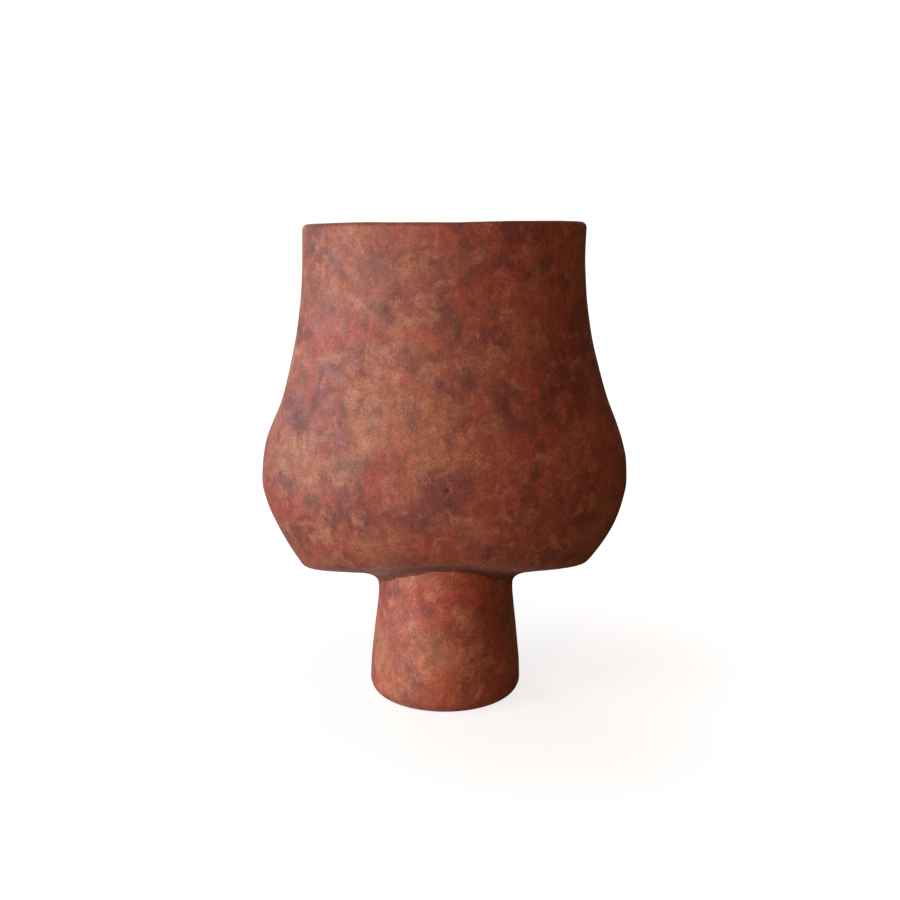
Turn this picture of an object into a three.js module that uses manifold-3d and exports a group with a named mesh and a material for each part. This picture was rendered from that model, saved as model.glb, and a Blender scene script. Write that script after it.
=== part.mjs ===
// Footed oval vase in patinated terracotta.
//
// A wide vessel with a flattened oval section stands on a short round foot.
// The mouth is as wide as the neck, the wall swells to a belly low down, and
// then turns under in a soft keel that meets the foot in a crease. Seen from
// the front or the back the crease arches upwards, because the underside is
// higher there than at the two ends of the oval.
//
// Millimetres. +Z is up, the long side of the oval runs along X, the front
// faces -Y. The origin is on the table under the centre of the foot.

import * as THREE from "three";
import { mergeVertices } from "three/addons/utils/BufferGeometryUtils.js";
import Module from "manifold-3d";

// ---------------------------------------------------------------- dimensions

const HEIGHT = 270.0; // table to the top of the lip
const LIP_DROP = 2.8; // height of the rounded lip above the top of the wall
const JOINT_GAP = 0.3; // between the fired pieces
const SIDES = 56; // facets around the vessel
const FOOT_SIDES = 48; // facets around the foot

// Outside of the vessel, top to bottom. Each level is a closed oval that dips
// or rises on its way round:
// [z at the left end, left half width, z at the right end, right half width,
//  z at the front and back, half depth, flattening of the flanks].
const OUTSIDE = [
  [267.2, 77.95, 267.2, 78.0, 267.2, 41.2, 0.2],
  [252.0, 78.4, 252.0, 77.6, 252.0, 40.9, 0.2],
  [232.7, 79.55, 232.7, 78.65, 232.3, 41.4, 0.2],
  [210.5, 82.5, 210.5, 81.65, 210.0, 43.0, 0.21],
  [188.0, 87.25, 188.0, 87.2, 188.0, 45.4, 0.22],
  [171.0, 92.0, 171.0, 92.6, 171.5, 47.5, 0.235],
  [159.5, 97.05, 159.5, 97.15, 160.5, 48.9, 0.25],
  [148.0, 101.4, 148.0, 101.15, 149.5, 50.2, 0.25],
  [136.4, 103.5, 136.4, 103.65, 138.5, 51.1, 0.25],
  [124.7, 104.25, 124.7, 104.1, 127.5, 51.5, 0.25],
  [112.9, 101.7, 112.9, 102.0, 116.5, 50.9, 0.25],
  [101.0, 96.95, 101.0, 97.95, 105.5, 49.2, 0.25],
  [91.6, 92.25, 91.6, 92.9, 97.2, 47.0, 0.23],
  [83.1, 87.4, 83.1, 87.05, 90.4, 44.0, 0.2],
  [79.5, 85.1, 79.6, 84.3, 86.6, 41.4, 0.17],
  [77.0, 83.6, 77.3, 81.9, 84.1, 38.6, 0.14],
  [75.1, 82.0, 75.9, 78.0, 81.7, 34.8, 0.11],
  [73.7, 79.2, 74.8, 70.6, 79.0, 29.6, 0.08],
  [72.8, 72.8, 73.7, 62.5, 76.8, 24.0, 0.05],
  [71.9, 64.0, 72.4, 54.5, 74.9, 18.5, 0.02],
  [71.1, 52.0, 71.2, 44.5, 73.3, 13.0, 0.0],
  [70.6, 32.0, 70.6, 29.0, 71.9, 7.0, 0.0],
  [70.5, 0.0, 70.5, 0.0, 70.5, 0.0, 0.0],
];

// Inside of the vessel, top to bottom:
// [z at the ends, half width, z at the front and back, half depth, flattening].
const INSIDE = [
  [266.6, 71.9, 266.6, 35.1, 0.2],
  [246.0, 71.7, 246.0, 34.7, 0.2],
  [221.8, 74.0, 221.5, 35.7, 0.2],
  [199.5, 77.9, 199.5, 37.6, 0.21],
  [177.5, 83.5, 178.0, 40.1, 0.22],
  [160.5, 89.6, 161.0, 42.2, 0.24],
  [148.5, 94.2, 149.5, 43.5, 0.25],
  [137.0, 96.9, 138.5, 44.4, 0.25],
  [125.5, 97.5, 128.0, 44.8, 0.25],
  [114.0, 95.3, 117.5, 44.2, 0.25],
  [103.5, 91.2, 108.0, 42.6, 0.24],
  [94.5, 86.2, 101.5, 40.4, 0.22],
  [88.2, 82.2, 96.6, 37.8, 0.2],
  [84.2, 78.6, 92.4, 34.4, 0.17],
  [81.6, 73.8, 88.8, 30.2, 0.13],
  [80.0, 66.5, 85.9, 24.8, 0.09],
  [78.9, 55.0, 83.2, 18.6, 0.05],
  [78.0, 40.0, 80.6, 12.0, 0.0],
  [77.6, 22.0, 78.6, 6.0, 0.0],
  [77.5, 0.0, 77.5, 0.0, 0.0],
];

// Outside of the foot, top to bottom: [z, left radius, right radius].
const FOOT_OUTSIDE = [
  [96.0, 38.4, 39.3],
  [62.5, 38.3, 39.3],
  [52.8, 38.95, 39.95],
  [40.5, 40.5, 41.2],
  [28.1, 42.05, 42.5],
  [15.7, 43.2, 43.75],
  [7.8, 43.65, 44.1],
];
const FOOT_EDGE_RADIUS = 7.8; // rounding from the wall of the foot to its ring
const FOOT_RING_INNER = 28.5; // inner radius of the ring that it stands on
const FOOT_INSIDE = [
  [1.6, 27.0],
  [9.0, 28.6],
  [22.0, 31.2],
  [60.0, 31.4],
  [96.0, 31.4],
]; // [z, radius], from the ring up

// The slip fillet in the crease reaches further along the flat underside at
// the two ends of the oval than at its front and back.
const SLIP_REACH_ENDS = 12.5; // outwards along the underside
const SLIP_REACH_FRONT = 2.2;
const SLIP_DROP_ENDS = 6.5; // down the foot
const SLIP_DROP_FRONT = 2.0;
const SLIP_EDGE = 0.6; // blunt edge of the fillet, proud of what it joins

// ------------------------------------------------------------------- helpers

const wasm = await Module();
wasm.setup();

// A lathe whose rings are bent into another shape: place(row, angle) gives the
// position of each vertex. Vertices that come together are merged.
function bentLathe(rows, sides, place) {
  const profile = rows.map((row, j) => new THREE.Vector2(row.onAxis ? 0 : 1 + j, j));
  const geometry = new THREE.LatheGeometry(profile, sides);
  const position = geometry.attributes.position;
  for (let i = 0; i <= sides; i += 1) {
    const angle = (2 * Math.PI * (i % sides)) / sides;
    for (let j = 0; j < rows.length; j += 1) {
      const [x, y, z] = place(rows[j], angle, j);
      position.setXYZ(i * rows.length + j, x, y, z);
    }
  }
  return tidy(geometry);
}

function tidy(geometry) {
  geometry.deleteAttribute("normal");
  geometry.deleteAttribute("uv");
  const merged = mergeVertices(geometry, 1e-4);
  const old = merged.index.array;
  const kept = [];
  for (let k = 0; k < old.length; k += 3) {
    const [a, b, c] = [old[k], old[k + 1], old[k + 2]];
    if (a !== b && b !== c && c !== a) kept.push(a, b, c);
  }
  merged.setIndex(kept);
  if (volume(merged) < 0) {
    for (let k = 0; k < kept.length; k += 3) [kept[k], kept[k + 1]] = [kept[k + 1], kept[k]];
    merged.setIndex(kept);
  }
  return merged;
}

function volume(geometry) {
  const p = geometry.attributes.position;
  const index = geometry.index.array;
  const [a, b, c] = [new THREE.Vector3(), new THREE.Vector3(), new THREE.Vector3()];
  let total = 0;
  for (let k = 0; k < index.length; k += 3) {
    a.fromBufferAttribute(p, index[k]);
    b.fromBufferAttribute(p, index[k + 1]);
    c.fromBufferAttribute(p, index[k + 2]);
    total += a.dot(b.cross(c)) / 6;
  }
  return total;
}

// The same surface, moved outwards by a distance.
function swollen(geometry, distance) {
  const copy = geometry.clone();
  copy.computeVertexNormals();
  const p = copy.attributes.position;
  const n = copy.attributes.normal;
  for (let k = 0; k < p.count; k += 1) {
    p.setXYZ(
      k,
      p.getX(k) + n.getX(k) * distance,
      p.getY(k) + n.getY(k) * distance,
      p.getZ(k) + n.getZ(k) * distance,
    );
  }
  copy.deleteAttribute("normal");
  return copy;
}

function toSolid(geometry) {
  return new wasm.Manifold(
    new wasm.Mesh({
      numProp: 3,
      vertProperties: new Float32Array(geometry.attributes.position.array),
      triVerts: new Uint32Array(geometry.index.array),
    }),
  );
}

function fromSolid(solid) {
  const mesh = solid.getMesh();
  const geometry = new THREE.BufferGeometry();
  geometry.setAttribute("position", new THREE.BufferAttribute(new Float32Array(mesh.vertProperties), 3));
  geometry.setIndex(new THREE.BufferAttribute(new Uint32Array(mesh.triVerts), 1));
  return geometry;
}

// ------------------------------------------------------- shape of the vessel

// Point of an oval level at an angle, with angle 0 at the right end (+X) and
// the front at -90 degrees.
function onLevel([zLeft, left, zRight, right, zFront, depth, flat], angle) {
  const c = Math.cos(angle);
  const s = Math.sin(angle);
  const half = (left + right) / 2 + ((right - left) / 2) * c;
  const zEnd = (zLeft + zRight) / 2 + ((zRight - zLeft) / 2) * c;
  return [half * c, depth * s * (1 - flat * c * c), zEnd * c * c + zFront * s * s];
}

const same = ([z, half, zFront, depth, flat]) => [z, half, z, half, zFront, depth, flat];

// The rounded lip, from the outside of the wall over the top to its inside.
const top = OUTSIDE[0];
const LIP = [
  [0.25, 0.55],
  [1.4, 0.93],
  [3.0, 1.0],
  [4.6, 0.93],
  [5.7, 0.55],
].map(([inwards, rise]) => {
  const z = HEIGHT - LIP_DROP + LIP_DROP * rise;
  return [z, top[1] - inwards, z, top[3] - inwards, z, top[5] - inwards, top[6]];
});

function vesselGeometry() {
  const rows = [
    ...[...OUTSIDE].reverse(),
    ...LIP,
    ...INSIDE.map(same),
  ].map((level) => ({ level, onAxis: level[1] === 0 }));
  return bentLathe(rows, SIDES, ({ level }, angle) => onLevel(level, angle));
}

// The vessel as a filled form, used to cut what fits against its underside.
function filledVesselGeometry() {
  const rows = [...OUTSIDE].reverse().map((level) => ({ level, onAxis: level[1] === 0 }));
  rows.push({ level: [top[0], 0, top[2], 0, top[4], 0, 0], onAxis: true });
  return bentLathe(rows, SIDES, ({ level }, angle) => onLevel(level, angle));
}

// Level at a fractional place in the table.
function levelAt(place) {
  const k = Math.min(Math.floor(place), OUTSIDE.length - 2);
  const f = place - k;
  return OUTSIDE[k].map((value, n) => value * (1 - f) + OUTSIDE[k + 1][n] * f);
}

// Height of the underside at a distance from the axis in a direction.
function undersideHeight(distance, direction) {
  const pointAt = (place) => {
    const level = levelAt(place);
    let low = direction - 0.9;
    let high = direction + 0.9;
    for (let k = 0; k < 40; k += 1) {
      const mid = (low + high) / 2;
      const [x, y] = onLevel(level, mid);
      const turn = Math.atan2(y, x) - direction;
      if (Math.atan2(Math.sin(turn), Math.cos(turn)) > 0) high = mid;
      else low = mid;
    }
    return onLevel(level, (low + high) / 2);
  };
  let near = OUTSIDE.length - 1.0001;
  let far = 9;
  for (let k = 0; k < 40; k += 1) {
    const mid = (near + far) / 2;
    const [x, y] = pointAt(mid);
    if (Math.hypot(x, y) > distance) far = mid;
    else near = mid;
  }
  return pointAt((near + far) / 2)[2];
}

// --------------------------------------------------------- shape of the foot

function footRadius(z, angle) {
  const table = FOOT_OUTSIDE;
  let k = 0;
  while (k < table.length - 2 && table[k + 1][0] > z) k += 1;
  const f = Math.min(1, Math.max(0, (z - table[k][0]) / (table[k + 1][0] - table[k][0])));
  const left = table[k][1] * (1 - f) + table[k + 1][1] * f;
  const right = table[k][2] * (1 - f) + table[k + 1][2] * f;
  return (left + right) / 2 + ((right - left) / 2) * Math.cos(angle);
}

function footRows(withInside) {
  const rows = [];
  const [, lastLeft, lastRight] = FOOT_OUTSIDE[FOOT_OUTSIDE.length - 1];
  for (let k = 0; k <= 4; k += 1) {
    const turn = (Math.PI / 2) * (1 - k / 4);
    const back = FOOT_EDGE_RADIUS * (1 - Math.cos(turn));
    rows.push({
      z: FOOT_EDGE_RADIUS * (1 - Math.sin(turn)),
      left: lastLeft - back,
      right: lastRight - back,
    });
  }
  for (const [z, left, right] of [...FOOT_OUTSIDE].reverse().slice(1)) rows.push({ z, left, right });
  if (withInside) {
    for (const [z, radius] of [...FOOT_INSIDE].reverse()) rows.push({ z, left: radius, right: radius });
    rows.push({ z: 0, left: FOOT_RING_INNER, right: FOOT_RING_INNER });
    rows.push(rows[0]);
  } else {
    rows.push({ z: FOOT_OUTSIDE[0][0], left: 0, right: 0, onAxis: true });
    rows.unshift({ z: 0, left: 0, right: 0, onAxis: true });
  }
  return rows;
}

function footGeometry(withInside) {
  return bentLathe(footRows(withInside), FOOT_SIDES, ({ z, left, right }, angle) => {
    const radius = (left + right) / 2 + ((right - left) / 2) * Math.cos(angle);
    return [radius * Math.cos(angle), radius * Math.sin(angle), z];
  });
}

// --------------------------------------------------- shape of the slip fillet

function slipGeometry() {
  const steps = 6;
  const rows = [{ inner: "top" }];
  for (let k = 0; k <= steps; k += 1) rows.push({ u: k / steps });
  rows.push({ inner: "bottom" }, { inner: "top" });
  return bentLathe(rows, SIDES, ({ u, inner }, angle) => {
    const ends = Math.cos(angle) ** 2;
    const reach = SLIP_REACH_FRONT + (SLIP_REACH_ENDS - SLIP_REACH_FRONT) * ends;
    const drop = SLIP_DROP_FRONT + (SLIP_DROP_ENDS - SLIP_DROP_FRONT) * ends;
    const crease = footRadius(75, angle);
    const zCrease = undersideHeight(crease, angle);
    const zOut = undersideHeight(crease + reach, angle);
    const zLow = zCrease - drop;
    const rLow = footRadius(zLow, angle);
    let r;
    let z;
    if (inner === "top") {
      r = crease - 1.0;
      z = Math.max(zCrease, zOut) + 2.5;
    } else if (inner === "bottom") {
      r = crease - 1.0;
      z = zLow;
    } else {
      const [a, b, c] = [(1 - u) ** 2, 2 * u * (1 - u), u ** 2];
      r = a * (crease + reach) + b * crease + c * rLow + SLIP_EDGE;
      z = a * zOut + b * zCrease + c * zLow - SLIP_EDGE * (1 - u);
    }
    return [r * Math.cos(angle), r * Math.sin(angle), z];
  });
}

// ------------------------------------------------------------------ materials

const firedClay = new THREE.MeshStandardMaterial({ color: 0x9c5340, roughness: 0.86, metalness: 0 });
const footClay = new THREE.MeshStandardMaterial({ color: 0x97503f, roughness: 0.86, metalness: 0 });
const slipClay = new THREE.MeshStandardMaterial({ color: 0x7d3d2c, roughness: 0.9, metalness: 0 });

// ------------------------------------------------------------------- assembly

const vessel = vesselGeometry();
const vesselCutter = toSolid(swollen(filledVesselGeometry(), JOINT_GAP));
const footCutter = toSolid(swollen(footGeometry(false), JOINT_GAP));

const foot = fromSolid(toSolid(footGeometry(true)).subtract(vesselCutter));
const slip = fromSolid(toSolid(slipGeometry()).subtract(vesselCutter).subtract(footCutter));

const vase = new THREE.Group();
vase.name = "footed_oval_vase";

const add = (name, geometry, material) => {
  const mesh = new THREE.Mesh(geometry, material);
  mesh.name = name;
  vase.add(mesh);
};

add("vessel_body", vessel, firedClay);
add("foot_stem", foot, footClay);
add("luting_slip_ring", slip, slipClay);

export default vase;
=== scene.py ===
"""Footed oval vase in patinated terracotta: finish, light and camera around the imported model."""
import math

import bpy
import numpy as np
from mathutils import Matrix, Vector


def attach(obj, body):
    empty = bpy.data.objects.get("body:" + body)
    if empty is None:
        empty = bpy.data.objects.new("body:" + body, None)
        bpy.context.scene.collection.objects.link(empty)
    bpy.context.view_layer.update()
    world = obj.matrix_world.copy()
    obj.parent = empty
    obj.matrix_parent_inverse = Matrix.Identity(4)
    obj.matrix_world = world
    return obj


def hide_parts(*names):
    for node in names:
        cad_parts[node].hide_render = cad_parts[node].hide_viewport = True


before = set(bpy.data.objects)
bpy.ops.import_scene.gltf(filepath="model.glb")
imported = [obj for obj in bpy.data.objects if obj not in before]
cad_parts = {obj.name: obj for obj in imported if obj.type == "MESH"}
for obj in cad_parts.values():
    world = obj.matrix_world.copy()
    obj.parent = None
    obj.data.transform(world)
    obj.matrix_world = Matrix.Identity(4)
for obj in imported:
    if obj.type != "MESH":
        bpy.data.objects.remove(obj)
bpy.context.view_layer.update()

MM = 0.001
SIDES = 400          # facets round the vessel and its fillet
OUTER_ROWS = 178     # rings on the outside of the vessel
HEIGHT = 270.0
LIP_DROP = 2.8

# ------------------------------------------------------------------ outlines
# [z left end, left half width, z right end, right half width, z front and back, half depth, flattening]
OUTSIDE = np.array([
    [267.2, 77.95, 267.2, 78.0, 267.2, 41.2, 0.2],
    [252.0, 78.4, 252.0, 77.6, 252.0, 40.9, 0.2],
    [232.7, 79.55, 232.7, 78.65, 232.3, 41.4, 0.2],
    [210.5, 82.5, 210.5, 81.65, 210.0, 43.0, 0.21],
    [188.0, 87.25, 188.0, 87.2, 188.0, 45.4, 0.22],
    [171.0, 92.0, 171.0, 92.6, 171.5, 47.5, 0.235],
    [159.5, 97.05, 159.5, 97.15, 160.5, 48.9, 0.25],
    [148.0, 101.4, 148.0, 101.15, 149.5, 50.2, 0.25],
    [136.4, 103.5, 136.4, 103.65, 138.5, 51.1, 0.25],
    [124.7, 104.25, 124.7, 104.1, 127.5, 51.5, 0.25],
    [112.9, 101.7, 112.9, 102.0, 116.5, 50.9, 0.25],
    [101.0, 96.95, 101.0, 97.95, 105.5, 49.2, 0.25],
    [91.6, 92.25, 91.6, 92.9, 97.2, 47.0, 0.23],
    [83.1, 87.4, 83.1, 87.05, 90.4, 44.0, 0.2],
    [79.5, 85.1, 79.6, 84.3, 86.6, 41.4, 0.17],
    [77.0, 83.6, 77.3, 81.9, 84.1, 38.6, 0.14],
    [75.1, 82.0, 75.9, 78.0, 81.7, 34.8, 0.11],
    [73.7, 79.2, 74.8, 70.6, 79.0, 29.6, 0.08],
    [72.8, 72.8, 73.7, 62.5, 76.8, 24.0, 0.05],
    [71.9, 64.0, 72.4, 54.5, 74.9, 18.5, 0.02],
    [71.1, 52.0, 71.2, 44.5, 73.3, 13.0, 0.0],
    [70.6, 32.0, 70.6, 29.0, 71.9, 7.0, 0.0],
    [70.5, 0.0, 70.5, 0.0, 70.5, 0.0, 0.0],
])
# [z ends, half width, z front and back, half depth, flattening]
INSIDE = np.array([
    [266.6, 71.9, 266.6, 35.1, 0.2],
    [246.0, 71.7, 246.0, 34.7, 0.2],
    [221.8, 74.0, 221.5, 35.7, 0.2],
    [199.5, 77.9, 199.5, 37.6, 0.21],
    [177.5, 83.5, 178.0, 40.1, 0.22],
    [160.5, 89.6, 161.0, 42.2, 0.24],
    [148.5, 94.2, 149.5, 43.5, 0.25],
    [137.0, 96.9, 138.5, 44.4, 0.25],
    [125.5, 97.5, 128.0, 44.8, 0.25],
    [114.0, 95.3, 117.5, 44.2, 0.25],
    [103.5, 91.2, 108.0, 42.6, 0.24],
    [94.5, 86.2, 101.5, 40.4, 0.22],
    [88.2, 82.2, 96.6, 37.8, 0.2],
    [84.2, 78.6, 92.4, 34.4, 0.17],
    [81.6, 73.8, 88.8, 30.2, 0.13],
    [80.0, 66.5, 85.9, 24.8, 0.09],
    [78.9, 55.0, 83.2, 18.6, 0.05],
    [78.0, 40.0, 80.6, 12.0, 0.0],
    [77.6, 22.0, 78.6, 6.0, 0.0],
    [77.5, 0.0, 77.5, 0.0, 0.0],
])
# [z, left radius, right radius]
FOOT_OUTSIDE = np.array([
    [96.0, 38.4, 39.3],
    [62.5, 38.3, 39.3],
    [52.8, 38.95, 39.95],
    [40.5, 40.5, 41.2],
    [28.1, 42.05, 42.5],
    [15.7, 43.2, 43.75],
    [7.8, 43.65, 44.1],
])
FOOT_EDGE = 7.8
FOOT_INSIDE = np.array([[66.0, 31.4], [60.0, 31.4], [22.0, 31.2], [9.0, 28.6], [1.6, 27.0], [0.25, 27.5], [0.0, 28.5]])
SLIP_ENDS, SLIP_FRONT, DROP_ENDS, DROP_FRONT = 12.5, 2.2, 6.5, 2.0


def monotone(x, y, xs):
    """Monotone cubic through the points, one column at a time."""
    out = np.empty((len(xs), y.shape[1]))
    h = np.diff(x)
    for c in range(y.shape[1]):
        d = np.diff(y[:, c]) / h
        m = np.zeros(len(x))
        for k in range(1, len(x) - 1):
            if d[k - 1] * d[k] > 0:
                w1, w2 = 2 * h[k] + h[k - 1], h[k] + 2 * h[k - 1]
                m[k] = (w1 + w2) / (w1 / d[k - 1] + w2 / d[k])
        m[0], m[-1] = d[0], d[-1]
        k = np.clip(np.searchsorted(x, xs) - 1, 0, len(x) - 2)
        t = (xs - x[k]) / h[k]
        out[:, c] = (
            (2 * t**3 - 3 * t**2 + 1) * y[k, c]
            + (t**3 - 2 * t**2 + t) * h[k] * m[k]
            + (-2 * t**3 + 3 * t**2) * y[k + 1, c]
            + (t**3 - t**2) * h[k] * m[k + 1]
        )
    return out


def refined(table, rows, weights):
    """The table resampled to rows, spaced by arc length in the given columns."""
    k = np.arange(len(table), dtype=float)
    dense = monotone(k, table, np.linspace(0, len(table) - 1, 2000))
    step = np.zeros(1999)
    for c in weights:
        step += np.abs(np.diff(dense[:, c]))
    arc = np.concatenate([[0], np.cumsum(step)])
    places = np.interp(np.linspace(0, arc[-1], rows), arc, np.linspace(0, len(table) - 1, 2000))
    return monotone(k, table, places)


def ovals(levels, angles):
    """Grid of points, one ring for each level."""
    c, s = np.cos(angles)[None], np.sin(angles)[None]
    zl, l, zr, r, zf, b, f = (levels[:, n : n + 1] for n in range(7))
    half = (l + r) / 2 + (r - l) / 2 * c
    z_end = (zl + zr) / 2 + (zr - zl) / 2 * c
    return np.stack([half * c, b * s * (1 - f * c * c), z_end * c * c + zf * s * s], 2)


# ------------------------------------------------- seeded noise for the clay
rng = np.random.RandomState(4711)
LATTICE = rng.rand(32, 32, 32)


def value_noise(p):
    i = np.floor(p).astype(int)
    f = p - i
    f = f * f * (3 - 2 * f)
    out = 0
    for dx in (0, 1):
        for dy in (0, 1):
            for dz in (0, 1):
                w = (
                    (f[..., 0] if dx else 1 - f[..., 0])
                    * (f[..., 1] if dy else 1 - f[..., 1])
                    * (f[..., 2] if dz else 1 - f[..., 2])
                )
                out = out + w * LATTICE[(i[..., 0] + dx) % 32, (i[..., 1] + dy) % 32, (i[..., 2] + dz) % 32]
    return out - 0.5


def relief(p):
    """Hand-finished unevenness of the clay, in mm outwards."""
    return (
        0.55 * value_noise(p / 46.0 + 3.1)
        + 0.14 * value_noise(p / 17.0 + 11.7)
        + 0.05 * value_noise(p / 6.5 + 5.3)
        + 0.035 * value_noise(p / 2.6 + 19.9)
        + 0.05 * value_noise(p * np.array([1 / 7.0, 1 / 7.0, 1 / 38.0]) + 7.7)
    )


def rim_lift(p):
    """The lip isn't level: low at the left end, highest right of the middle."""
    x = p[..., 0]
    dz = np.interp(x, [-80, -72, -56, -40, 8, 22, 36, 62, 72, 80], [-1.5, -1.1, -0.5, -0.05, 0.05, 0.5, 0.8, 0.8, 0.4, -0.2])
    w = np.clip((p[..., 2] - 235) / 35, 0, 1)
    out = p.copy()
    out[..., 2] += dz * w * w * (3 - 2 * w)
    return out


def grid_normals(g):
    du = np.roll(g, -1, 1) - np.roll(g, 1, 1)
    dv = np.empty_like(g)
    dv[1:-1] = g[2:] - g[:-2]
    dv[0], dv[-1] = g[1] - g[0], g[-1] - g[-2]
    n = np.cross(du, dv)
    return n / np.maximum(np.linalg.norm(n, axis=2, keepdims=True), 1e-9)


# ------------------------------------------------------------------- vessel
angles = np.linspace(0, 2 * math.pi, SIDES, endpoint=False)
outer = ovals(refined(OUTSIDE, OUTER_ROWS, (1, 4, 5))[:-1], angles)  # top to bottom, without its pole
top = OUTSIDE[0]
lip_levels = []
for turn in np.linspace(0.12, 0.94, 11) * math.pi:
    across, rise = (1 - math.cos(turn)) / 2, math.sin(turn)
    z = HEIGHT - LIP_DROP + LIP_DROP * rise
    lip_levels.append([z, top[1] - 6 * across, z, top[3] - 6 * across, z, top[5] - 6 * across, top[6]])
lip = ovals(np.array(lip_levels), angles)
inner_table = np.stack([INSIDE[:, 0], INSIDE[:, 1], INSIDE[:, 0], INSIDE[:, 1], INSIDE[:, 2], INSIDE[:, 3], INSIDE[:, 4]], 1)
inner = ovals(refined(inner_table, 46, (1, 4, 5))[:-1], angles)

# points on the front of the vessel, for marks that the photo shows in a place
CAM_BACK, CAM_UP, PITCH, FOCAL, MID_X = 650.0, 270.0, math.radians(11.10), 1162.0, 444.5


def projected(g):
    d, h = g[..., 1] + CAM_BACK, CAM_UP - g[..., 2]
    deep = d * math.cos(PITCH) + h * math.sin(PITCH)
    low = -d * math.sin(PITCH) + h * math.cos(PITCH)
    return MID_X + FOCAL * g[..., 0] / deep, 450 + FOCAL * low / deep


foot_levels = refined(FOOT_OUTSIDE, 90, (0,))


def foot_radius(z, angle):
    order = np.argsort(foot_levels[:, 0])
    l = np.interp(z, foot_levels[order, 0], foot_levels[order, 1])
    r = np.interp(z, foot_levels[order, 0], foot_levels[order, 2])
    return (l + r) / 2 + (r - l) / 2 * np.cos(angle)


def on_front(px, py):
    """The point of the front that is seen at a place in the picture."""
    front = outer[(slice(None), np.sin(angles) < 0)]
    if py > 577:
        a = np.linspace(-math.pi, 0, 181)[None]
        z = np.linspace(1, 76, 151)[:, None]
        r = foot_radius(z + 0 * a, a)
        front = np.stack([r * np.cos(a), r * np.sin(a), z + 0 * a], 2)
    x, y = projected(front)
    k = np.unravel_index(np.argmin((x - px) ** 2 + (y - py) ** 2), x.shape)
    return front[k]


# small pinholes: two where the photo shows them, the rest scattered
pits = [(on_front(447, 490), 1.15, 1.3), (on_front(281, 473), 0.85, 0.7)]
flat = outer.reshape(-1, 3)
for _ in range(150):
    k = rng.randint(len(flat))
    pits.append((flat[k], 0.45 + 0.45 * rng.rand() ** 2, 0.18 + 0.25 * rng.rand()))


def with_relief(g, amount=1.0, holes=True):
    n = grid_normals(g)
    d = relief(g) * amount
    if holes:
        for centre, radius, depth in pits:
            box = np.all(np.abs(g - centre) < 3 * radius, axis=2)
            if box.any():
                q = np.linalg.norm(g[box] - centre, axis=1) / radius
                d[box] -= depth * np.exp(-((q / 0.75) ** 2))
    return g + n * d[..., None]


def outward(g, sign):
    """Relief wants normals that point out of the clay."""
    n = grid_normals(g)
    mid = g.mean(axis=(0, 1))
    facing = np.sum(n * (g - mid) * np.array([1, 1, 0.2]), axis=2).mean()
    return sign if facing > 0 else -sign


def shaped(g, sign=1.0, amount=1.0, holes=True):
    flip = outward(g, sign)
    base = g if flip > 0 else g[:, ::-1]
    moved = with_relief(base, amount, holes)
    return moved if flip > 0 else moved[:, ::-1]


vessel_rows = np.concatenate([outer[::-1], lip, inner], 0)
# one grid from the outer pole over the lip to the inner pole, so the relief runs on without a step
n = grid_normals(vessel_rows)
if n[40, 0, 0] < 0:
    n = -n
d = relief(vessel_rows)
count = len(outer) + len(lip)
d[count:] *= 0.7
for centre, radius, depth in pits:
    near = np.all(np.abs(vessel_rows - centre) < 3 * radius, axis=2)
    if near.any():
        q = np.linalg.norm(vessel_rows[near] - centre, axis=1) / radius
        d[near] -= depth * np.exp(-((q / 0.75) ** 2))
# the relief fades out where the foot and its fillet meet the underside
under = np.clip((np.hypot(vessel_rows[..., 0], vessel_rows[..., 1]) - 30) / 8, 0, 1)
d *= np.where(vessel_rows[..., 2] < 76, np.maximum(under, 0.0), 1.0)
vessel_rows = rim_lift(vessel_rows + n * d[..., None])


def lathe_mesh(name, rows, pole_first=None, pole_last=None, closed=False):
    """A closed mesh from rings of points, with a pole at either end, or joined end to end."""
    r, s, _ = rows.shape
    verts = rows.reshape(-1, 3).tolist()
    faces = []
    for j in range(r - 1 + (1 if closed else 0)):
        a, b = j * s, ((j + 1) % r) * s
        for i in range(s):
            i2 = (i + 1) % s
            faces.append((a + i, a + i2, b + i2, b + i))
    if pole_first is not None:
        verts.append(list(pole_first))
        p = len(verts) - 1
        faces += [(p, (i + 1) % s, i) for i in range(s)]
    if pole_last is not None:
        verts.append(list(pole_last))
        p = len(verts) - 1
        a = (r - 1) * s
        faces += [(p, a + i, a + (i + 1) % s) for i in range(s)]
    mesh = bpy.data.meshes.new(name)
    mesh.from_pydata([[c * MM for c in v] for v in verts], [], faces)
    mesh.update()
    import bmesh

    bm = bmesh.new()
    bm.from_mesh(mesh)
    bmesh.ops.recalc_face_normals(bm, faces=bm.faces)
    if bm.calc_volume(signed=True) < 0:
        bmesh.ops.reverse_faces(bm, faces=bm.faces)
    bm.to_mesh(mesh)
    bm.free()
    for p in mesh.polygons:
        p.use_smooth = True
    obj = bpy.data.objects.new(name, mesh)
    bpy.context.scene.collection.objects.link(obj)
    return obj


vessel = lathe_mesh("vessel_body_clay", vessel_rows, (0, 0, 70.5), (0, 0, 77.5))

# ------------------------------------------------------------ foot and slip
# height of the finished underside by direction and distance from the axis
low_rows = vessel_rows[:90]  # from the pole of the underside outwards
directions = np.linspace(-math.pi, math.pi, SIDES, endpoint=False)


def by_direction(rows):
    r = np.hypot(rows[..., 0], rows[..., 1])
    a = np.arctan2(rows[..., 1], rows[..., 0])
    rr, zz = np.empty((len(rows), SIDES)), np.empty((len(rows), SIDES))
    for j in range(len(rows)):
        o = np.argsort(a[j])
        aa = np.concatenate([a[j][o] - 2 * math.pi, a[j][o], a[j][o] + 2 * math.pi])
        rr[j] = np.interp(directions, aa, np.tile(r[j][o], 3))
        zz[j] = np.interp(directions, aa, np.tile(rows[j, :, 2][o], 3))
    return rr, zz


under_r, under_z = by_direction(low_rows)


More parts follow.
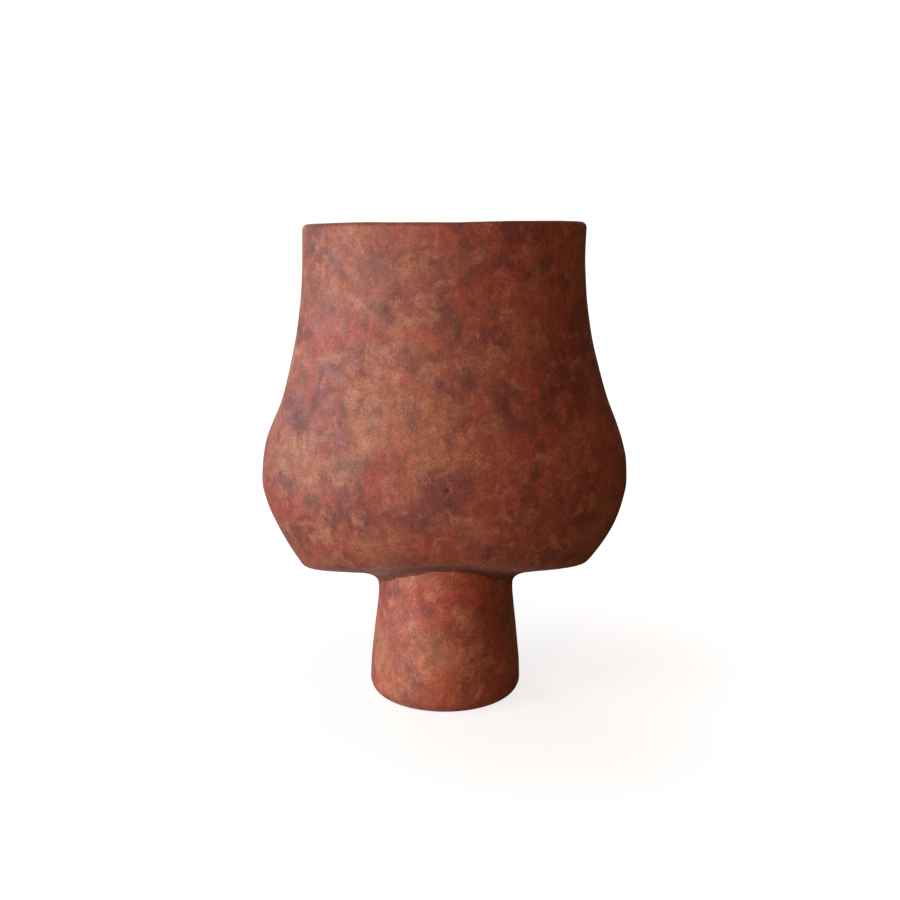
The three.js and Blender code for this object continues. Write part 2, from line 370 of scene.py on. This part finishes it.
def underside(distance):
    """Height of the underside for one distance in each direction."""
    out = np.empty(SIDES)
    for i in range(SIDES):
        rising = np.maximum.accumulate(under_r[:, i])
        stop = int(np.argmax(under_r[:, i])) + 1
        out[i] = np.interp(distance[i], rising[:stop], under_z[:stop, i])
    return out


crease = foot_radius(np.full(SIDES, 74.0), directions)
z_crease = underside(crease)
ends = np.cos(directions) ** 2
reach = SLIP_FRONT + (SLIP_ENDS - SLIP_FRONT) * ends
drop = DROP_FRONT + (DROP_ENDS - DROP_FRONT) * ends
wobble = 1 + 0.5 * value_noise(np.stack([crease * np.cos(directions), crease * np.sin(directions), z_crease], 1) / 7.0)
reach, drop = reach * wobble, drop * wobble
z_out = underside(crease + reach)
z_low = z_crease - drop

foot_z_top = underside(crease - 0.4)
rows = []
for f in np.linspace(0, 1, 74):
    z = (z_crease - 0.2) * (1 - f) + FOOT_EDGE * f
    r = foot_radius(z, directions)
    rows.append(np.stack([r * np.cos(directions), r * np.sin(directions), z], 1))
last_l, last_r = FOOT_OUTSIDE[-1, 1], FOOT_OUTSIDE[-1, 2]
for turn in np.linspace(0, math.pi / 2, 16)[1:]:
    back = FOOT_EDGE * (1 - math.cos(turn))
    r = (last_l + last_r) / 2 + (last_r - last_l) / 2 * np.cos(directions) - back
    rows.append(np.stack([r * np.cos(directions), r * np.sin(directions), np.full(SIDES, FOOT_EDGE * (1 - math.sin(turn)))], 1))
foot_out = np.array(rows)
n = grid_normals(foot_out)
if n[20, 0, 0] * foot_out[20, 0, 0] < 0:
    n = -n
d = relief(foot_out)
for _ in range(26):
    centre = foot_out.reshape(-1, 3)[rng.randint(74 * SIDES)]
    radius, depth = 0.4 + 0.4 * rng.rand() ** 2, 0.15 + 0.2 * rng.rand()
    near = np.all(np.abs(foot_out - centre) < 3 * radius, axis=2)
    q = np.linalg.norm(foot_out[near] - centre, axis=1) / radius
    d[near] -= depth * np.exp(-((q / 0.75) ** 2))
d *= np.clip(foot_out[..., 2] / 6, 0, 1)
foot_out = foot_out + n * d[..., None]
foot_out[..., 2] = np.maximum(foot_out[..., 2], 0.0)
rows = []
for z, radius in FOOT_INSIDE[::-1]:
    zz = np.full(SIDES, z)
    rows.append(np.stack([radius * np.cos(directions), radius * np.sin(directions), zz], 1))
z_in = underside(np.full(SIDES, 31.4)) - 0.2
rows.append(np.stack([31.4 * np.cos(directions), 31.4 * np.sin(directions), z_in], 1))
foot = lathe_mesh("foot_stem_clay", np.concatenate([foot_out, np.array(rows)], 0), closed=True)

rows = []
for u in np.linspace(0, 1, 15):
    a, b, c = (1 - u) ** 2, 2 * u * (1 - u), u * u
    r_low = foot_radius(z_low, directions) + relief(
        np.stack([crease * np.cos(directions), crease * np.sin(directions), z_low], 1)
    )
    edge = 0.06
    r = a * (crease + reach) + b * crease + c * r_low + edge * u
    z = a * z_out + b * z_crease + c * z_low - edge * (1 - u)
    rows.append(np.stack([r * np.cos(directions), r * np.sin(directions), z], 1))
r = foot_radius(z_low, directions) - 0.15
rows.append(np.stack([r * np.cos(directions), r * np.sin(directions), z_low], 1))
r = crease - 0.15
rows.append(np.stack([r * np.cos(directions), r * np.sin(directions), z_crease + 0.1], 1))
r = crease + reach
rows.append(np.stack([r * np.cos(directions), r * np.sin(directions), z_out + 0.12], 1))
slip = lathe_mesh("slip_fillet_clay", np.array(rows), closed=True)

for piece, node, slot_name in (
    (vessel, "vessel_body", "vessel_clay"),
    (foot, "foot_stem", "foot_clay"),
    (slip, "luting_slip_ring", "slip_clay"),
):
    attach(piece, "root")
    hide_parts(node)


# ----------------------------------------------------------------- materials
class Tree:
    """Short forms for building a node tree."""

    def __init__(self, material):
        material.use_nodes = True
        self.t = material.node_tree
        self.t.nodes.clear()

    def new(self, kind, **values):
        n = self.t.nodes.new(kind)
        for k, v in values.items():
            setattr(n, k, v)
        return n

    def put(self, value, socket):
        if isinstance(value, bpy.types.NodeSocket):
            self.t.links.new(value, socket)
        else:
            socket.default_value = value

    def maths(self, op, a, b=0.0, clamp=False):
        n = self.new("ShaderNodeMath", operation=op, use_clamp=clamp)
        self.put(a, n.inputs[0])
        self.put(b, n.inputs[1])
        return n.outputs[0]

    def vec(self, op, a, b=(0, 0, 0)):
        n = self.new("ShaderNodeVectorMath", operation=op)
        self.put(a, n.inputs[0])
        self.put(b, n.inputs[1])
        return n.outputs["Value"] if op in ("DISTANCE", "LENGTH", "DOT_PRODUCT") else n.outputs[0]

    def noise(self, where, size, detail=4.0, rough=0.55, distort=0.0, shift=0.0):
        n = self.new("ShaderNodeTexNoise")
        n.inputs["Scale"].default_value = 1.0 / size
        n.inputs["Detail"].default_value = detail
        n.inputs["Roughness"].default_value = rough
        n.inputs["Distortion"].default_value = distort
        self.put(self.vec("ADD", where, (shift, shift * 0.7, -shift)), n.inputs["Vector"])
        return n.outputs["Fac"]

    def span(self, value, low, high, a=0.0, b=1.0):
        n = self.new("ShaderNodeMapRange", interpolation_type="SMOOTHSTEP")
        self.put(value, n.inputs["Value"])
        for k, v in (("From Min", low), ("From Max", high), ("To Min", a), ("To Max", b)):
            n.inputs[k].default_value = v
        return n.outputs["Result"]

    def mix(self, fac, a, b, kind="MIX"):
        n = self.new("ShaderNodeMix", data_type="RGBA", blend_type=kind)
        self.put(fac, n.inputs[0])
        self.put(a if isinstance(a, bpy.types.NodeSocket) else (*a, 1.0), n.inputs[6])
        self.put(b if isinstance(b, bpy.types.NodeSocket) else (*b, 1.0), n.inputs[7])
        return n.outputs[2]


BASE = (0.355, 0.074, 0.036)
RED = (0.400, 0.062, 0.032)
OCHRE = (0.425, 0.150, 0.066)
TAN = (0.470, 0.190, 0.105)
PLUM = (0.215, 0.040, 0.034)
MAROON = (0.190, 0.026, 0.014)
UMBER = (0.150, 0.038, 0.019)
OLIVE = (0.225, 0.088, 0.038)
MAUVE = (0.400, 0.125, 0.100)
SMOKE = (0.130, 0.056, 0.040)

# cloudy marks: place in the picture, size in mm, colour, strength
MARKS = [
    (374, 266, 11, PLUM, 0.60), (335, 303, 8, MAUVE, 0.50), (410, 267, 10, OCHRE, 0.60), (370, 236, 7, OCHRE, 0.5),
    (440, 232, 8, RED, 0.6), (490, 278, 9, RED, 0.55), (524, 376, 11, RED, 0.6), (551, 433, 10, RED, 0.55),
    (382, 490, 11, RED, 0.5), (463, 261, 7, OLIVE, 0.7), (507, 240, 8, MAROON, 0.65), (541, 261, 7, UMBER, 0.6),
    (528, 231, 5, MAROON, 0.6), (578, 403, 8, MAROON, 0.6), (412, 362, 9, UMBER, 0.5), (412, 416, 8, PLUM, 0.6),
    (341, 406, 7, PLUM, 0.55), (446, 420, 12, OCHRE, 0.6), (534, 335, 9, OCHRE, 0.5), (389, 545, 12, OCHRE, 0.6),
    (365, 450, 10, TAN, 0.5), (345, 467, 8, OLIVE, 0.6), (314, 507, 7, SMOKE, 0.55), (428, 611, 6, PLUM, 0.6),
    (434, 642, 7, OLIVE, 0.6), (452, 635, 6, MAROON, 0.5), (471, 623, 8, OCHRE, 0.5), (383, 690, 6, OCHRE, 0.6),
    (402, 692, 5, PLUM, 0.6), (400, 615, 9, MAUVE, 0.5), (475, 535, 13, TAN, 0.45), (495, 365, 9, TAN, 0.45),
]


# dark paints shade into the clay colour (the crease fillet); pale paints light into it (the foot)
def clay(name, dark=0.0, pale=0.0):
    m = bpy.data.materials.new(name)
    t = Tree(m)
    at = t.new("ShaderNodeTexCoord").outputs["Object"]
    # soft warp, so that no mark has a plain outline
    warp = t.new("ShaderNodeTexNoise")
    warp.inputs["Scale"].default_value = 1 / 0.016
    warp.inputs["Detail"].default_value = 3.0
    t.put(at, warp.inputs["Vector"])
    bent = t.vec("ADD", at, t.vec("SCALE", t.vec("SUBTRACT", warp.outputs["Color"], (0.5, 0.5, 0.5))))
    bent_scale = bent.node.inputs[1].links[0].from_node
    bent_scale.inputs["Scale"].default_value = 0.022

    colour = t.mix(t.span(t.noise(at, 0.040, 4, 0.55, 0.4, 1.0), 0.42, 0.66, 0.0, 1.0), BASE, OCHRE)
    colour = t.mix(t.maths("MULTIPLY", t.span(t.noise(at, 0.034, 5, 0.58, 0.6, 4.0), 0.46, 0.68), 0.75), colour, RED)
    colour = t.mix(t.maths("MULTIPLY", t.span(t.noise(at, 0.027, 5, 0.58, 0.8, 9.0), 0.49, 0.64), 0.95), colour, PLUM)
    colour = t.mix(t.maths("MULTIPLY", t.span(t.noise(at, 0.019, 5, 0.62, 0.5, 15.0), 0.54, 0.70), 0.80), colour, UMBER)
    colour = t.mix(t.maths("MULTIPLY", t.span(t.noise(at, 0.012, 4, 0.6, 0.5, 21.0), 0.52, 0.66), 0.75), colour, TAN)
    colour = t.mix(t.maths("MULTIPLY", t.span(t.noise(at, 0.022, 4, 0.6, 0.5, 27.0), 0.60, 0.76), 0.65), colour, OLIVE)
    for px, py, size, tint, strength in MARKS:
        p = on_front(px, py) * MM
        near = t.span(t.vec("DISTANCE", bent, tuple(p)), size * 0.35 * MM, size * 1.25 * MM, strength, 0.0)
        colour = t.mix(near, colour, tint)
    # brushed, streaky wash, longer along z
    stretched = t.vec("MULTIPLY", at, (1.0, 1.0, 0.28))
    streak = t.noise(stretched, 0.0045, 4, 0.6, 0.2, 33.0)
    colour = t.mix(0.32, colour, t.mix(t.span(streak, 0.35, 0.68), (0.62, 0.60, 0.60), (1.28, 1.30, 1.30)), "MULTIPLY")
    # mottling of a few millimetres, then suede-like grain under a millimetre
    fleck = t.noise(at, 0.0048, 4, 0.62, 0.0, 40.0)
    colour = t.mix(0.55, colour, t.mix(t.span(fleck, 0.34, 0.68), (0.66, 0.60, 0.58), (1.28, 1.34, 1.36)), "MULTIPLY")
    grain = t.noise(at, 0.0010, 2, 0.6, 0.0, 47.0)
    colour = t.mix(1.0, colour, t.mix(t.span(grain, 0.30, 0.70), (0.70, 0.66, 0.65), (1.24, 1.28, 1.30)), "MULTIPLY")
    # dark specks
    speck = t.noise(at, 0.0022, 1, 0.5, 0.0, 53.0)
    colour = t.mix(t.span(speck, 0.70, 0.78, 0.0, 0.55), colour, UMBER)
    # painted shade: the two larger pinholes are coloured near black, standing in for the shade inside them
    for centre, radius, _ in pits[:2]:
        p = (np.array(centre) + (0, 0.5, 0)) * MM
        painted_pinhole_shade = t.span(t.vec("DISTANCE", at, tuple(p)), radius * 0.85 * MM, radius * 1.35 * MM, 0.9, 0.0)
        colour = t.mix(painted_pinhole_shade, colour, (0.06, 0.014, 0.009))
    # painted light: the foot's clay is made lighter all over, standing in for light that reaches the foot
    if pale:
        colour = t.mix(pale, colour, (1.9, 1.9, 1.9), "MULTIPLY")
    # painted shade: the crease fillet is darkened, most at the front and back and less towards the ends, standing in
    # for the shade under the belly's overhang
    if dark:
        apart = t.new("ShaderNodeSeparateXYZ")
        t.put(at, apart.inputs[0])
        painted_crease_shade = t.span(t.maths("ABSOLUTE", apart.outputs[0]), 0.020, 0.050, dark, dark * 0.35)
        colour = t.mix(painted_crease_shade, colour, (0.30, 0.22, 0.20), "MULTIPLY")
    # powdery bloom that catches in the paler areas
    bloom = t.span(t.noise(at, 0.008, 5, 0.7, 0.3, 60.0), 0.50, 0.74, 0.0, 0.16)
    colour = t.mix(bloom, colour, (0.46, 0.24, 0.19))

    rough = t.span(t.noise(at, 0.009, 4, 0.6, 0.0, 66.0), 0.3, 0.7, 0.60, 0.74)
    height = t.maths(
        "ADD",
        t.maths("MULTIPLY", t.noise(at, 0.0009, 3, 0.6, 0.0, 71.0), 0.00016),
        t.maths("MULTIPLY", t.noise(at, 0.0034, 3, 0.55, 0.0, 77.0), 0.00030),
    )
    bump = t.new("ShaderNodeBump")
    bump.inputs["Strength"].default_value = 0.55
    bump.inputs["Distance"].default_value = 1.0
    t.put(height, bump.inputs["Height"])
    shader = t.new("ShaderNodeBsdfPrincipled")
    t.put(colour, shader.inputs["Base Color"])
    t.put(rough, shader.inputs["Roughness"])
    t.put(bump.outputs["Normal"], shader.inputs["Normal"])
    shader.inputs["Specular IOR Level"].default_value = 1.0
    shader.inputs["Sheen Weight"].default_value = 0.30
    shader.inputs["Sheen Roughness"].default_value = 0.5
    shader.inputs["Sheen Tint"].default_value = (1.0, 0.86, 0.82, 1.0)
    out = t.new("ShaderNodeOutputMaterial")
    t.put(shader.outputs[0], out.inputs["Surface"])
    return m


clay_material = clay("patinated_terracotta")
# the foot's clay carries painted light: it is made lighter all over
foot_material = clay("patinated_terracotta_foot_painted_light", pale=0.26)
# the crease fillet's clay carries painted shade: it is darkened
slip_material = clay("patinated_terracotta_crease_painted_shade", dark=0.85)
for piece, material in ((vessel, clay_material), (foot, foot_material), (slip, slip_material)):
    piece.data.materials.append(material)

# --------------------------------------------------------------- floor, light
floor_mesh = bpy.data.meshes.new("studio_floor")
profile = [(-3.0, 0.0), (1.2, 0.0)]
for turn in np.linspace(0, math.pi / 2, 14)[1:]:
    profile.append((1.2 + 0.8 * math.sin(turn), 0.8 * (1 - math.cos(turn))))
profile.append((2.0, 3.5))
verts = [(x, y, z) for x in (-4.0, 4.0) for y, z in profile]
k = len(profile)
floor_mesh.from_pydata(verts, [], [(i, i + k, i + k + 1, i + 1) for i in range(k - 1)])
floor = bpy.data.objects.new("studio_floor", floor_mesh)
bpy.context.scene.collection.objects.link(floor)
for p in floor_mesh.polygons:
    p.use_smooth = True
pale = bpy.data.materials.new("pale_paper")
t = Tree(pale)
shader = t.new("ShaderNodeBsdfPrincipled")
shader.inputs["Base Color"].default_value = (0.45, 0.45, 0.45, 1)
shader.inputs["Roughness"].default_value = 0.9
shader.inputs["Specular IOR Level"].default_value = 0.0
shader.inputs["Emission Color"].default_value = (1, 1, 1, 1)
# painted shade: the floor glows less near the vase, so it is greyer round the foot; further out it glows evenly white
spot = t.vec("LENGTH", t.new("ShaderNodeTexCoord").outputs["Object"])
t.put(t.span(spot, 0.06, 0.34, 0.80, 1.02), shader.inputs["Emission Strength"])
out = t.new("ShaderNodeOutputMaterial")
t.put(shader.outputs[0], out.inputs["Surface"])
floor_mesh.materials.append(pale)
floor.visible_diffuse = False
floor.visible_glossy = False

LIGHTS = {
    # name: (azimuth left of front, elevation, distance, size, watts, colour)
    "key_left": (60, 6, 1.20, 0.60, 9.2, (1.0, 0.86, 0.83)),
    "sky_left": (82, 8, 1.20, 0.60, 4.4, (0.40, 0.78, 1.0)),
    "fill_front_left": (25, 14, 1.20, 0.60, 4.4, (1.0, 0.68, 0.46)),
    "back_left": (140, 22, 1.50, 0.80, 5.0, (1.0, 0.97, 0.95)),
    "back_right": (-150, 16, 1.50, 0.80, 1.0, (1.0, 0.95, 0.92)),
}
for name, (az, el, distance, size, watts, tint) in LIGHTS.items():
    data = bpy.data.lights.new(name, "AREA")
    data.shape, data.size, data.energy, data.color = "DISK", size, watts, tint
    lamp = bpy.data.objects.new(name, data)
    a, e = math.radians(az), math.radians(el)
    offset = Vector((-math.sin(a) * math.cos(e), -math.cos(a) * math.cos(e), math.sin(e))) * distance
    lamp.location = Vector((0, 0, 0.15)) + offset
    lamp.rotation_mode = "QUATERNION"
    lamp.rotation_quaternion = (-offset).to_track_quat("-Z", "Y")
    bpy.context.scene.collection.objects.link(lamp)

world = bpy.data.worlds.new("studio")
bpy.context.scene.world = world
world.use_nodes = True
wt = world.node_tree
wt.nodes.clear()
path = wt.nodes.new("ShaderNodeLightPath")
dim, bright = wt.nodes.new("ShaderNodeBackground"), wt.nodes.new("ShaderNodeBackground")
dim.inputs[0].default_value, dim.inputs[1].default_value = (1.0, 0.37, 0.15, 1), 0.086
bright.inputs[0].default_value, bright.inputs[1].default_value = (1, 1, 1, 1), 1.0
blend = wt.nodes.new("ShaderNodeMixShader")
wout = wt.nodes.new("ShaderNodeOutputWorld")
wt.links.new(path.outputs["Is Camera Ray"], blend.inputs[0])
wt.links.new(dim.outputs[0], blend.inputs[1])
wt.links.new(bright.outputs[0], blend.inputs[2])
wt.links.new(blend.outputs[0], wout.inputs[0])

# -------------------------------------------------------------------- camera
camera_data = bpy.data.cameras.new("camera")
camera_data.sensor_width = 36.0
camera_data.lens = FOCAL / 900.0 * 36.0
camera_data.clip_start, camera_data.clip_end = 0.01, 50
camera = bpy.data.objects.new("camera", camera_data)
camera.location = (5.5 / FOCAL * CAM_BACK * MM * 1.0, -CAM_BACK * MM, CAM_UP * MM)
camera.rotation_euler = (math.pi / 2 - PITCH, 0, 0)
bpy.context.scene.collection.objects.link(camera)
bpy.context.scene.camera = camera

bpy.context.scene.view_settings.view_transform = "Standard"
bpy.context.scene.view_settings.look = "None"
bpy.context.scene.view_settings.exposure = 0.0
bpy.context.scene.view_settings.gamma = 1.0
